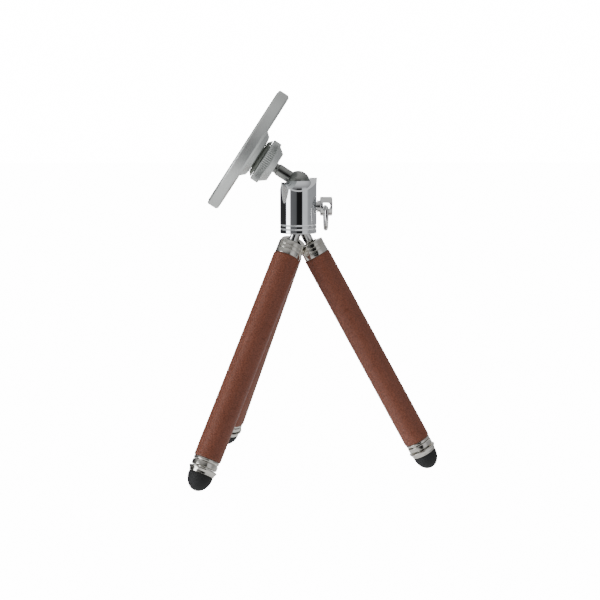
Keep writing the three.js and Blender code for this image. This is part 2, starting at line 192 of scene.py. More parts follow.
def arc(radius, height, size, start, end, steps):
    points = []
    for step in range(steps + 1):
        angle = math.radians(start + (end - start) * step / steps)
        points.append((radius + size * math.cos(angle), height + size * math.sin(angle)))
    return points


def finish_mesh(name, bm, matrix, sharp=32):
    mesh = bpy.data.meshes.new(name)
    bmesh.ops.recalc_face_normals(bm, faces=bm.faces)
    bm.to_mesh(mesh)
    bm.free()
    mesh.shade_smooth()
    mesh.set_sharp_from_angle(angle=math.radians(sharp))
    made = bpy.data.objects.new(name, mesh)
    bpy.context.scene.collection.objects.link(made)
    made.matrix_world = matrix
    return made


def turned_bmesh(outline, segments=96, wobble=None):
    """A solid turned about Z. An outline that leaves the axis closes on itself as a ring."""
    closed = outline[0][0] > 1e-9 or outline[-1][0] > 1e-9
    bm = bmesh.new()
    rows = []
    for radius, height in outline:
        if radius < 1e-9:
            rows.append([bm.verts.new((0, 0, height * MM))])
            continue
        row = []
        for index in range(segments):
            angle = 2 * math.pi * index / segments
            size = radius + (wobble(angle, radius, height) if wobble else 0)
            row.append(bm.verts.new((size * MM * math.cos(angle), size * MM * math.sin(angle), height * MM)))
        rows.append(row)
    pairs = list(zip(rows, rows[1:]))
    if closed:
        pairs.append((rows[-1], rows[0]))
    for low, high in pairs:
        for index in range(segments):
            following = (index + 1) % segments
            if len(low) == 1 and len(high) == 1:
                continue
            if len(low) == 1:
                bm.faces.new((low[0], high[following], high[index]))
            elif len(high) == 1:
                bm.faces.new((low[index], low[following], high[0]))
            else:
                bm.faces.new((low[index], low[following], high[following], high[index]))
    return bm


def turned(name, outline, matrix, segments=96, sharp=32, wobble=None):
    return finish_mesh(name, turned_bmesh(outline, segments, wobble), matrix, sharp)


def prism(name, outline, low, high, matrix):
    """A prism along Y from an outline in the XZ plane."""
    bm = bmesh.new()
    ends = [[bm.verts.new((x * MM, y * MM, z * MM)) for x, z in outline] for y in (low, high)]
    bm.faces.new(ends[0])
    bm.faces.new(reversed(ends[1]))
    count = len(outline)
    for index in range(count):
        following = (index + 1) % count
        bm.faces.new((ends[0][following], ends[0][index], ends[1][index], ends[1][following]))
    return finish_mesh(name, bm, matrix)


def ball(name, radius, height, matrix, segments=96):
    return turned(name, arc(0, height, radius, -90, 90, segments // 2), matrix, segments)


def settle(piece):
    """Applies the modifiers of a piece to its mesh."""
    graph = bpy.context.evaluated_depsgraph_get()
    mesh = bpy.data.meshes.new_from_object(piece.evaluated_get(graph))
    piece.modifiers.clear()
    old = piece.data
    piece.data = mesh
    bpy.data.meshes.remove(old)
    mesh.name = piece.name


def combine(piece, other, operation):
    """Joins or cuts with another solid, which is then dropped."""
    change = piece.modifiers.new("combine", "BOOLEAN")
    change.operation = operation
    change.solver = "EXACT"
    change.object = other
    settle(piece)
    mesh = other.data
    bpy.data.objects.remove(other)
    bpy.data.meshes.remove(mesh)


def ease(piece, width, angle=30, segments=3):
    """Rounds the sharp edges that cutting leaves."""
    bevel = piece.modifiers.new("ease", "BEVEL")
    bevel.width = width * MM
    bevel.segments = segments
    bevel.limit_method = "ANGLE"
    bevel.angle_limit = math.radians(angle)
    bevel.use_clamp_overlap = True
    bevel.miter_outer = "MITER_ARC"
    settle(piece)
    clean = bmesh.new()
    clean.from_mesh(piece.data)
    bmesh.ops.remove_doubles(clean, verts=clean.verts, dist=0.002 * MM)
    clean.to_mesh(piece.data)
    clean.free()
    piece.data.shade_smooth()
    piece.data.set_sharp_from_angle(angle=math.radians(40))


BODY_OF = {}
for body_name, members in frame["record"]["behaviour"]["bodies"].items():
    for member in members:
        BODY_OF[member] = body_name
SLOT_OF = {part["node"]: part["material_slot"] for part in frame["record"]["subparts"]}


def stand_in(piece, node, material):
    """The piece stands for a CAD node: same body and slot, its own material."""
    piece.data.materials.clear()
    piece.data.materials.append(material)
    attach(piece, BODY_OF[node])
    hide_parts(node)


# ---- materials ------------------------------------------------------------------------

def linear(red, green, blue):
    """A display colour, 0 to 255, as linear light."""
    return tuple((value / 255) ** 2.2 for value in (red, green, blue)) + (1.0,)


class Shader:
    """A material with its main shader, and short calls that add nodes to it."""

    def __init__(self, name, **settings):
        self.material = bpy.data.materials.new(name)
        self.material.use_nodes = True
        self.tree = self.material.node_tree
        self.main = next(n for n in self.tree.nodes if n.type == "BSDF_PRINCIPLED")
        for socket, value in settings.items():
            self.main.inputs[socket.replace("_", " ")].default_value = value

    def add(self, kind, settings=(), **inputs):
        made = self.tree.nodes.new("ShaderNode" + kind)
        for key, value in dict(settings).items():
            setattr(made, key, value)
        for socket, value in inputs.items():
            self.feed(value, made.inputs[socket.replace("_", " ")])
        return made

    def feed(self, value, socket):
        if isinstance(value, bpy.types.NodeSocket):
            self.tree.links.new(value, socket)
        else:
            socket.default_value = value

    def millimetres(self, stretch=(1, 1, 1)):
        """The piece's own coordinates, in millimetres, stretched."""
        where = self.add("TexCoord").outputs["Object"]
        scale = tuple(factor / MM for factor in stretch)
        return self.add("Mapping", Vector=where, Scale=scale).outputs["Vector"]

    def noise(self, vector, scale, detail=3.0, rough=0.55):
        made = self.add("TexNoise", Vector=vector, Scale=scale, Detail=detail, Roughness=rough)
        return made.outputs["Fac"]

    def spread(self, value, low, high, old_low=0.3, old_high=0.7):
        """A 0 to 1 pattern remapped to run from low to high."""
        made = self.add("MapRange", Value=value)
        made.inputs["From Min"].default_value = old_low
        made.inputs["From Max"].default_value = old_high
        made.inputs["To Min"].default_value = low
        made.inputs["To Max"].default_value = high
        return made.outputs["Result"]

    def colours(self, value, *stops):
        made = self.add("ValToRGB", Fac=value)
        ramp = made.color_ramp
        while len(ramp.elements) < len(stops):
            ramp.elements.new(0.5)
        for element, (position, colour) in zip(ramp.elements, stops):
            element.position = position
            element.color = colour
        return made.outputs["Color"]

    def bump(self, height, depth, strength=1.0, normal=None):
        made = self.add("Bump", Height=height, Strength=strength, Distance=depth * MM)
        if normal:
            self.feed(normal, made.inputs["Normal"])
        return made.outputs["Normal"]

    def set(self, **sockets):
        for socket, value in sockets.items():
            self.feed(value, self.main.inputs[socket.replace("_", " ")])
        return self.material


def turned_metal(name, dark, light, rough, lines=0.0015, ring_scale=5.0):
    """Plated metal from a lathe: fine rings about the axis, smudges in the gloss."""
    shader = Shader(name, Metallic=1.0)
    rings = shader.noise(shader.millimetres((0.02, 0.02, 1)), ring_scale, 4.0)
    smudge = shader.noise(shader.millimetres(), 0.22, 4.0)
    return shader.set(
        Base_Color=shader.colours(smudge, (0.3, dark), (0.7, light)),
        Roughness=shader.spread(smudge, rough[0], rough[1]),
        Normal=shader.bump(rings, lines),
    )


def blasted_aluminium():
    """Bead-blasted and anodised: a fine even grain with sparkle, softly uneven in tone."""
    shader = Shader("aluminium", Metallic=1.0)
    where = shader.millimetres()
    grain = shader.noise(where, 6.5, 2.0, 0.6)
    cloud = shader.noise(where, 0.12, 3.0)
    tone = shader.add("Math", {"operation": "MULTIPLY_ADD"})
    shader.feed(cloud, tone.inputs[0])
    shader.feed(0.35, tone.inputs[1])
    shader.feed(shader.spread(grain, 0.15, 0.55), tone.inputs[2])
    return shader.set(
        Base_Color=shader.colours(
            tone.outputs[0], (0.25, linear(204, 208, 206)), (0.75, linear(230, 233, 231))
        ),
        Roughness=shader.spread(grain, 0.40, 0.50),
        Normal=shader.bump(grain, 0.012),
    )


def leather_material():
    """Reddish-brown hide: pebbles drawn out round the leg, fine cross creases, and painted shade darkening
    the creases so the pebble tops read lighter.
    """
    shader = Shader("leather", Specular_IOR_Level=0.42)
    across = shader.millimetres((0.75, 0.75, 1.35))
    drift = shader.add("TexNoise", Vector=across, Scale=0.9, Detail=2.0)
    warped = shader.add("VectorMath", {"operation": "MULTIPLY_ADD"})
    shader.feed(drift.outputs["Color"], warped.inputs[0])
    warped.inputs[1].default_value = (0.55, 0.55, 0.55)
    shader.feed(across, warped.inputs[2])
    pebbles = shader.add("TexVoronoi", {"feature": "DISTANCE_TO_EDGE"}, Vector=warped.outputs[0], Scale=1.15)
    crease = shader.spread(pebbles.outputs["Distance"], 0.0, 1.0, 0.0, 0.2)
    pores = shader.noise(shader.millimetres(), 5.5, 3.0, 0.6)
    cloud = shader.noise(shader.millimetres((1, 1, 0.45)), 0.13, 4.0, 0.6)
    base = shader.colours(
        cloud, (0.28, linear(136, 80, 61)), (0.5, linear(141, 84, 65)), (0.74, linear(147, 89, 70))
    )
    # Painted shade: the base colour is multiplied darker along the creases between the pebbles, and the
    # pebble tops keep the full colour.
    crease_shaded = shader.add("Mix", {"data_type": "RGBA", "blend_type": "MULTIPLY"})
    shader.feed(1.0, crease_shaded.inputs["Factor"])
    shader.feed(base, crease_shaded.inputs[6])
    shade = shader.colours(crease, (0.0, linear(206, 194, 187)), (0.55, linear(255, 255, 255)))
    shader.feed(shade, crease_shaded.inputs[7])
    hide = shader.bump(pores, 0.018)
    return shader.set(
        Base_Color=crease_shaded.outputs[2],
        Roughness=shader.spread(pores, 0.36, 0.52),
        Normal=shader.bump(crease, 0.06, normal=hide),
    )


def rubber_material(name, shade, rough, grain):
    """Matt moulded rubber with a faint bloom."""
    shader = Shader(name, Specular_IOR_Level=0.4)
    where = shader.millimetres()
    fine = shader.noise(where, 7.0, 2.0)
    bloom = shader.noise(where, 0.35, 4.0)
    return shader.set(
        Base_Color=shader.colours(
            bloom, (0.3, linear(shade, shade, shade + 1)), (0.72, linear(shade + 9, shade + 10, shade + 10))
        ),
        Roughness=shader.spread(bloom, rough, rough + 0.12),
        Normal=shader.bump(fine, grain),
    )


def polymer_material():
    shader = Shader("polymer", Specular_IOR_Level=0.4)
    where = shader.millimetres()
    mottle = shader.noise(where, 0.8, 3.0)
    return shader.set(
        Base_Color=shader.colours(mottle, (0.3, linear(222, 219, 208)), (0.7, linear(234, 232, 224))),
        Roughness=shader.spread(mottle, 0.42, 0.55),
        Normal=shader.bump(shader.noise(where, 4.0, 2.0), 0.01),
    )


LOOKS = {
    "chrome": turned_metal(
        "chrome", linear(226, 228, 231), linear(238, 240, 242), (0.02, 0.05), lines=0.0004, ring_scale=3.0
    ),
    "nickel": turned_metal(
        "nickel", linear(205, 202, 194), linear(224, 221, 214), (0.10, 0.17), lines=0.004
    ),
    "bright_steel": turned_metal("bright_steel", linear(205, 205, 204), linear(226, 226, 225), (0.07, 0.13)),
    "dark_steel": turned_metal(
        "dark_steel", linear(128, 130, 128), linear(160, 161, 158), (0.20, 0.30), lines=0.003
    ),
    "black_nickel": turned_metal(
        "black_nickel", linear(146, 150, 144), linear(166, 170, 163), (0.42, 0.50), lines=0.001
    ),
    "brass": turned_metal("brass", linear(176, 141, 82), linear(200, 166, 104), (0.25, 0.35)),
    "magnet": turned_metal("magnet", linear(165, 167, 168), linear(190, 192, 193), (0.25, 0.38)),
    "aluminium": blasted_aluminium(),
    "leather": leather_material(),
    "foot_rubber": rubber_material("foot_rubber", 38, 0.62, 0.012),
    "pad_rubber": rubber_material("pad_rubber", 36, 0.55, 0.008),
    "polymer": polymer_material(),
}


def look(node):
    return LOOKS[SLOT_OF[node]]


# ---- barrel, hub and clamp screw --------------------------------------------------------

BARREL_FRAME = barrel_frame()
QUARTER = Matrix.Rotation(math.pi / 2, 4, "Z")


def screw_frame():
    """+Z runs out along the clamp screw, from the middle of the barrel."""
    lift = Matrix.Translation((0, 0, BARREL["screw_height"] * MM))
    return BARREL_FRAME @ lift @ Matrix.Rotation(math.pi / 2, 4, "Y")


def gable():
    """Two slopes from a ridge along X, each bulging a little."""
    half = BARREL["radius"] + 1
    fall = half * math.tan(math.radians(BARREL["roof"]))
    outline = [(-half, -1.0), (half, -1.0)]
    for step in range(25):
        share = 1 - step / 24
        bulge = 0.6 * math.sin(math.pi * share) * share
        outline.append((half * share, BARREL["ridge"] - fall * share + bulge))
    outline += [(-across, height) for across, height in reversed(outline[2:-1])]
    return prism("gable", outline, -half, half, BARREL_FRAME @ QUARTER)


def dome():
    """The lip that closes round the ball, in front of the slopes."""
    side = arc(DOME["offset"], DOME["height"], DOME["size"], 0, DOME["top"], 24)
    outline = [(0, -1), (DOME["offset"] + DOME["size"], -1)] + side + [(0, side[-1][1])]
    return turned("dome", outline, BARREL_FRAME, 192)


def make_barrel():
    """A turned body with two grooves; the top is milled to a gable and holds the ball's socket."""
    radius, bore = BARREL["radius"], BARREL["bore"]
    above = BARREL["ridge"] + 1
    socket_low = BALL_HEIGHT - 3
    outline = [(BARREL["recess"], 0), (radius, 0, 0.35)]
    half, depth = BARREL["groove_half"], BARREL["groove_depth"]
    for height in BARREL["grooves"]:
        outline.append((radius, height - half, 0.08))
        outline.append((radius - depth, height, 0.10))
        outline.append((radius, height + half, 0.08))
    throat, floor, hole = BARREL["throat"], BARREL["floor"], BARREL["hub_screw"]
    outline += [(radius, BARREL["flare_start"], 6), (radius + BARREL["flare"], above), (throat, above)]
    outline += [(throat, socket_low), (bore, socket_low), (bore, floor), (hole, floor)]
    outline += [(hole, BARREL["recess_depth"]), (BARREL["recess"], BARREL["recess_depth"])]
    barrel = turned("chrome_barrel", rounded(outline), BARREL_FRAME, 192)
    top = gable()
    combine(top, dome(), "UNION")
    combine(barrel, top, "INTERSECT")
    combine(barrel, ball("socket", BARREL["socket"], BALL_HEIGHT, BARREL_FRAME), "DIFFERENCE")
    width = BARREL["notch"] / 2
    centre = BALL_HEIGHT - BARREL["notch_depth"] + width
    slot = arc(0, centre, width, 180, 360, 24) + [(width, above + 1), (-width, above + 1)]
    combine(barrel, prism("notch", slot, 0, 10, BARREL_FRAME @ QUARTER), "DIFFERENCE")
    hole, reach = BARREL["screw_hole"], radius + 1
    drill = turned("drill", [(0, 0), (hole, 0), (hole, reach), (0, reach)], screw_frame(), 48)
    combine(barrel, drill, "DIFFERENCE")
    ease(barrel, 0.14)
    stand_in(barrel, "barrel", look("barrel"))


def make_hub():
    size, low, high = HUB["radius"], HUB["low"], HUB["high"]
    plug = [(0, low), (size, low, 0.3), (size, high), (0, high)]
    hub = turned("leg_hub_body", rounded(plug), BARREL_FRAME, 96)
    for leg in LEGS:
        frame_here = leg_frame(leg)
        start, radius, hole = ARM["start"], ARM["radius"], ARM["pin_hole"]
        arm = [(0, start), (radius, start), (radius, PIVOT)] + arc(0, PIVOT, radius, 0, 90, 12)[1:]
        arm_piece = turned("arm", arm, frame_here, 48)
        pin = frame_here @ Matrix.Translation((0, 0, PIVOT * MM)) @ Matrix.Rotation(math.pi / 2, 4, "X")
        cut = turned("pin", [(0, -4), (hole, -4), (hole, 4), (0, 4)], pin, 24)
        combine(arm_piece, cut, "DIFFERENCE")
        combine(hub, arm_piece, "UNION")
    bore = HUB["bore"]
    cut = turned("bore", [(0, 1), (bore, 1), (bore, 6), (0, 6)], BARREL_FRAME, 32)
    combine(hub, cut, "DIFFERENCE")
    ease(hub, 0.12, angle=35)
    stand_in(hub, "leg_hub", look("clamp_screw"))


def make_clamp_screw():
    axle = screw_frame()
    shank, wall, collar, waist = SCREW["shank"], SCREW["wall"], SCREW["collar"], SCREW["waist"]
    head, start, end = SCREW["head"], SCREW["head_start"], SCREW["head_end"]
    outline = [(0, SCREW["tip"]), (1.6, 3.6, 0.3), (shank, 3.8), (shank, wall), (collar, wall, 0.15)]
    outline += [(collar, 8.8, 0.1), (waist, 8.85), (waist, 9.0), (collar, 9.1, 0.1), (collar, start)]
    outline += [(head, start, 0.35), (head, end, 0.45), (2.9, end, 0.1), (2.6, 14.55, 0.2), (0, 14.5)]
    screw = turned("clamp_screw_body", rounded(outline), axle, 96)
    half, low, high = SCREW["window_half"], SCREW["window_start"], SCREW["window_end"]
    window = [(low, -half), (high - half, -half)]
    window += arc(high - half, 0, half, -90, 90, 16)[1:]
    window.append((low, half))
    across = BARREL_FRAME @ Matrix.Translation((0, 0, BARREL["screw_height"] * MM))
    combine(screw, prism("window", window, -6, 6, across), "DIFFERENCE")
    ease(screw, 0.16, angle=32)
    stand_in(screw, "clamp_screw", look("clamp_screw"))


def make_pull_ring():
    """A wire loop: a straight bar through the screw's window and a half-round below it."""
    half, side, corner, wire = RING["half"], RING["side"], RING["corner"], RING["wire"]
    route = []
    straight = 16
    for step in range(straight):
        route.append((-half + corner + (2 * half - 2 * corner) * step / straight, 0))
    route += arc(half - corner, -corner, corner, 90, 0, 6)
    route += arc(0, -side, half, 0, -180, 40)
    route += arc(-half + corner, -corner, corner, 180, 90, 6)[:-1]
    height = BARREL["screw_height"] - RING["drop"]
    place_at = BARREL_FRAME @ Matrix.Translation((RING["x"] * MM, 0, height * MM))
    sides = 20
    bm = bmesh.new()
    rings = []
    count = len(route)
    for index, (y, z) in enumerate(route):
        ahead = Vector(route[(index + 1) % count]) - Vector(route[index - 1])
        ahead.normalize()
        normal = Vector((-ahead.y, ahead.x))
        ring = []
        for turn in range(sides):
            angle = 2 * math.pi * turn / sides
            out = normal * wire * math.cos(angle)
            ring.append(bm.verts.new((wire * math.sin(angle) * MM, (y + out.x) * MM, (z + out.y) * MM)))
        rings.append(ring)
    for index in range(count):
        low, high = rings[index], rings[(index + 1) % count]
        for turn in range(sides):
            after = (turn + 1) % sides
            bm.faces.new((low[turn], low[after], high[after], high[turn]))
    stand_in(finish_mesh("pull_ring_wire", bm, place_at), "pull_ring", look("pull_ring"))


# ---- ball, nut and disc -------------------------------------------------------------------

HEAD_FRAME = head_frame()


def make_ball_stem():
    join = math.degrees(math.acos(STEM / BALL_RADIUS))
    outline = arc(0, 0, BALL_RADIUS, -90, join, 60)
    shaft = [(STEM, 5.0), (STEM, STEM_END - 0.5, 0.15), (2.3, STEM_END, 0.1), (NECK, STEM_END + 0.4)]
    shaft += [(NECK, NECK_END, 0.2), (STEM_BORE, NECK_END)]
    outline += rounded(shaft)[1:]
    outline += [(STEM_BORE, NECK_END - 4), (0, NECK_END - 4)]
    stand_in(turned("ball_and_stem", outline, HEAD_FRAME, 128), "ball_stem", look("ball_stem"))


def make_lock_nut():
    """Straight-cut ribs round the nut, run out to a plain bevel at each end."""
    ribs, per_rib, depth = 64, 6, 0.5
    low, high, fade = RIB_START + 0.25, RIB_END - 0.3, 0.3

    def rib(angle, radius, height):
        if radius < 9.7 or not low < height < high:
            return 0
        share = (angle / (2 * math.pi) * ribs) % 1
        valley = 1 - abs(2 * share - 1)
        run_out = min(1, (height - low) / fade, (high - height) / fade)
        return -depth * run_out * max(0, valley - 0.15) / 0.85

    outline = [(2.5, NUT_REAR), (6.75, NUT_REAR, 0.3), (8.65, NUT_REAR + 2.5, 0.2)]
    outline += [(8.7, RIB_START - 0.05, 0.08), (9.55, RIB_START, 0.1)]
    for height in (0.26, 0.4, 0.55, 1.4, 2.3, 3.2, 3.35, 3.5):
        outline.append((9.9, RIB_START + height))
    outline += [(9.6, RIB_END, 0.1), (2.5, RIB_END)]
    nut = turned("knurled_lock_nut", rounded(outline), HEAD_FRAME, ribs * per_rib, 38, rib)
    stand_in(nut, "lock_nut", look("lock_nut"))


def make_disc():
    top = BUSH_START
    bush = [(2.5, top), (9.4, top, 0.2), (7.65, top + 1.5, 0.15), (7.5, top + 1.7, 0.05), (2.5, top + 1.7)]
    piece = turned("swivel_bush_body", rounded(bush), HEAD_FRAME, 192)
    stand_in(piece, "swivel_bush", look("swivel_bush"))
    top = BOSS_START
    boss = [(2.5, top), (8.3, top, 0.1), (9.6, top + 0.35, 0.6), (11.3, top + 2.25), (11.3, top + 2.3)]
    boss.append((2.5, top + 2.3))
    piece = turned("disc_boss_body", rounded(boss), HEAD_FRAME, 128)
    stand_in(piece, "disc_boss", look("disc_boss"))
    back, front, size = DISC_START, DISC_END, DISC_RADIUS
    shell = [(3.2, back), (28.2, back, 0.35), (size, back + 0.85, 0.5), (size, front - 0.6, 0.35)]
    shell += [(28.4, front, 0.35), (27.8, front, 0.1), (27.8, back + 1.2), (4.2, back + 1.2)]
    shell += [(4.2, back + 0.3), (3.2, back + 0.3)]
    piece = turned("disc_shell_body", rounded(shell, 6), HEAD_FRAME, 192)
    stand_in(piece, "disc_shell", look("disc_shell"))
    face, trough = PAD_FACE, PAD_FACE - 0.12
    pad = [(0, PAD_START), (PAD_RADIUS, PAD_START), (PAD_RADIUS, face, 0.18), (23.2, face, 0.05)]
    pad += [(23.1, trough, 0.05), (22.7, trough, 0.05), (22.6, face, 0.05), (0, face)]
    piece = turned("face_pad_body", rounded(pad), HEAD_FRAME, 160)
    stand_in(piece, "face_pad", look("face_pad"))


# ---- legs ---------------------------------------------------------------------------------

def arm_slot(frame_here):
    """The room in the ferrule for the hub's arm, from open to folded."""
    turn = math.radians(FOLD + 0.5)
    top = FERRULE_TOP - 2.5
    start = (-ARM_ROOM * math.cos(turn), PIVOT + ARM_ROOM * math.sin(turn))
    run = (start[1] - top) / math.cos(turn)
    outline = [(ARM_ROOM, top)] + arc(0, PIVOT, ARM_ROOM, 0, 180 - math.degrees(turn), 24)
    outline.append((start[0] - run * math.sin(turn), top))
    return prism("slot", outline, -ARM_ROOM, ARM_ROOM, frame_here)


def wedge(leg):
    """The space that a ferrule may fill between its neighbours."""
    pivot = Vector(JOINTS[leg + "_leg_fold"]["pos_m"])
    centre = BARREL_FRAME.translation
    place_angle = math.atan2(pivot.y - centre.y, pivot.x - centre.x)
    half = math.radians(WEDGE)
    apex = GAP / math.sin(half)
    reach = 60
    wide, tall = apex + reach * math.cos(half), reach * math.sin(half)
    turn = Matrix.Rotation(place_angle, 4, "Z")
    upright = Matrix.Translation(centre) @ turn @ Matrix.Rotation(math.pi / 2, 4, "X")
    return prism("wedge", [(apex, 0), (wide, -tall), (wide, tall)], -reach, reach, upright)


def make_ferrule(leg, frame_here):
    top, end, size = FERRULE_TOP, LEATHER_TOP - 0.1, FERRULE
    outline = [(0, top - 1.3), (2.45, top - 1.3), (2.6, top - 0.9, 0.5), (3.6, top, 1.0), (size, top, 0.28)]
    for groove in FERRULE_GROOVES:
        outline.append((size, top + groove - 0.2, 0.08))
        outline.append((size - 0.3, top + groove, 0.1))
        outline.append((size, top + groove + 0.2, 0.08))
    outline += [(size, end, 0.15), (SPIGOT, end), (SPIGOT, end + 6, 0.3), (0, end + 6)]
    ferrule = turned(leg + "_leg_ferrule", rounded(outline), frame_here, 128)
    combine(ferrule, arm_slot(frame_here), "DIFFERENCE")
    pin = frame_here @ Matrix.Translation((0, 0, PIVOT * MM)) @ Matrix.Rotation(math.pi / 2, 4, "X")
    hole = PIN["hole"]
    cut = turned("pin", [(0, -8), (hole, -8), (hole, 8), (0, 8)], pin, 24)
    combine(ferrule, cut, "DIFFERENCE")
    combine(ferrule, wedge(leg), "INTERSECT")
    ease(ferrule, 0.1, angle=35, segments=2)
    stand_in(ferrule, leg + "_ferrule", look(leg + "_ferrule"))
    half, radius = PIN["half"], PIN["radius"]
    rod = [(0, -half), (0.5, -5.3, 0.1), (radius, -5.1), (radius, 5.1), (0.5, 5.3, 0.1), (0, half)]
    piece = turned(leg + "_hinge_pin_rod", rounded(rod), pin, 32)
    stand_in(piece, leg + "_hinge_pin", look(leg + "_hinge_pin"))


def make_leather(leg, frame_here):
    """Stretched hide: rounded cut ends, shallow hand waves, and a butt seam on the inner side."""
    seam_width, seam_depth = 0.35, 0.28
    rows = 240
    radius, inner = LEATHER, SLEEVE_BORE

    def hide(angle, size, height):
        if size < radius - 0.6:
            return 0
        from_seam = abs((angle - math.pi + math.pi) % (2 * math.pi) - math.pi) * radius
        seam = -seam_depth * math.exp(-(from_seam / seam_width) ** 2)
        where = Vector((math.cos(angle) * 1.7, math.sin(angle) * 1.7, height * 0.16))
        wave = noise.noise(where + Vector((0, 0, 40 * LEGS.index(leg)))) * 0.035
        where = Vector((math.cos(angle) * 6, math.sin(angle) * 6, height * 1.6))
        return seam + wave + noise.noise(where) * 0.012

    start, end = LEATHER_TOP, LEATHER_END
    top = rounded([(inner, start), (radius, start, 0.5), (radius, start + 2)], 8)[1:-1]
    bottom = [(size, end - (height - start)) for size, height in reversed(top)]
    step = (end - start - 2) / rows
    middle = [(radius, start + 1 + step * row) for row in range(rows + 1)]
    outline = [(inner, start)] + top + middle + bottom + [(inner, end)]
    seam_inward = frame_here @ Matrix.Rotation(math.pi, 4, "Z")
    sleeve = turned(leg + "_leather_wrap", outline, seam_inward, 144, 60, hide)
    stand_in(sleeve, leg + "_leather_sleeve", look(leg + "_leather_sleeve"))


def make_collars(leg, frame_here):
    """Two turned bands under the leather, then the flange that narrows to the rubber."""
    size = COLLAR
    top, end = LOWER_COLLAR
    bead = [(4.25, top), (size - 0.2, top, 0.1), (size, top + 0.2, 0.15), (size, end - 0.35, 0.2)]
    bead += [(size - 0.25, end, 0.1), (4.25, end)]
    piece = turned(leg + "_lower_bead", rounded(bead), frame_here, 128)
    stand_in(piece, leg + "_lower_collar", look(leg + "_lower_collar"))
    top, end = MIDDLE_COLLAR
    band = [(3.45, top), (size - 0.25, top, 0.1), (size, top + 0.25, 0.15), (size, end - 0.3, 0.25)]
    band += [(size - 0.3, end, 0.1), (3.45, end)]
    piece = turned(leg + "_middle_band", rounded(band), frame_here, 128)
    stand_in(piece, leg + "_mid_collar", look(leg + "_mid_collar"))
    top, end = FLANGE_TOP, FLANGE_END
    flange = [(0, top - 6), (2.75, top - 6, 0.3), (2.75, top), (FLANGE - 0.25, top, 0.1)]
    flange += [(FLANGE, top + 0.2, 0.12), (FLANGE - 0.03, top + 0.62, 0.2)]
    flange += [(FLANGE_NECK + 0.12, top + 1.5, 0.7), (FLANGE_NECK, end, 0.12), (1.8, end)]
    flange += [(1.8, end + 3, 0.2), (0, end + 3)]
    piece = turned(leg + "_foot_flange_body", rounded(flange, 6), frame_here, 128)
    stand_in(piece, leg + "_foot_flange", look(leg + "_foot_flange"))


def make_tubes(leg, frame_here):
    for part, (outer, inner, top, end) in TUBES.items():
        node = leg + "_" + part
        outline = rounded([(inner, top), (outer, top, 0.1), (outer, end, 0.1), (inner, end)])
        stand_in(turned(node + "_fine", outline, frame_here, 96), node, look(node))


def make_foot(leg, frame_here):
    """A moulded rubber bullet with a soft lip where it meets the flange."""
    top, size, length = FLANGE_END + GAP, FOOT, NOSE
    low = FOOT_TIP - length
    nose = [(x * size, low + y * length) for x, y in arc(0, 0, 1, 0, 90, 40)]
    lip = rounded([(2.0, top), (size - 0.2, top, 0.2), (size - 0.05, low - 0.1, 0.2), (size, low)], 6)[1:-1]
    outline = [(0, top + 3.2), (2.0, top + 3.2), (2.0, top)] + lip + nose
    piece = turned(leg + "_rubber_tip", outline, frame_here, 128)
    stand_in(piece, leg + "_rubber_foot", look(leg + "_rubber_foot"))


make_barrel()
make_hub()
make_clamp_screw()
make_pull_ring()
make_ball_stem()
make_lock_nut()
make_disc()
for leg_name in LEGS:
    here = leg_frame(leg_name)
    make_ferrule(leg_name, here)
    make_leather(leg_name, here)
    make_collars(leg_name, here)
    make_tubes(leg_name, here)
    make_foot(leg_name, here)

# The pieces inside keep their CAD shape and take a material.
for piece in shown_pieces():
    node = piece.get("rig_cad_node")
    if node:
        piece.data.materials.clear()
        piece.data.materials.append(look(node))


# ---- floor, light and camera ----------------------------------------------------------------

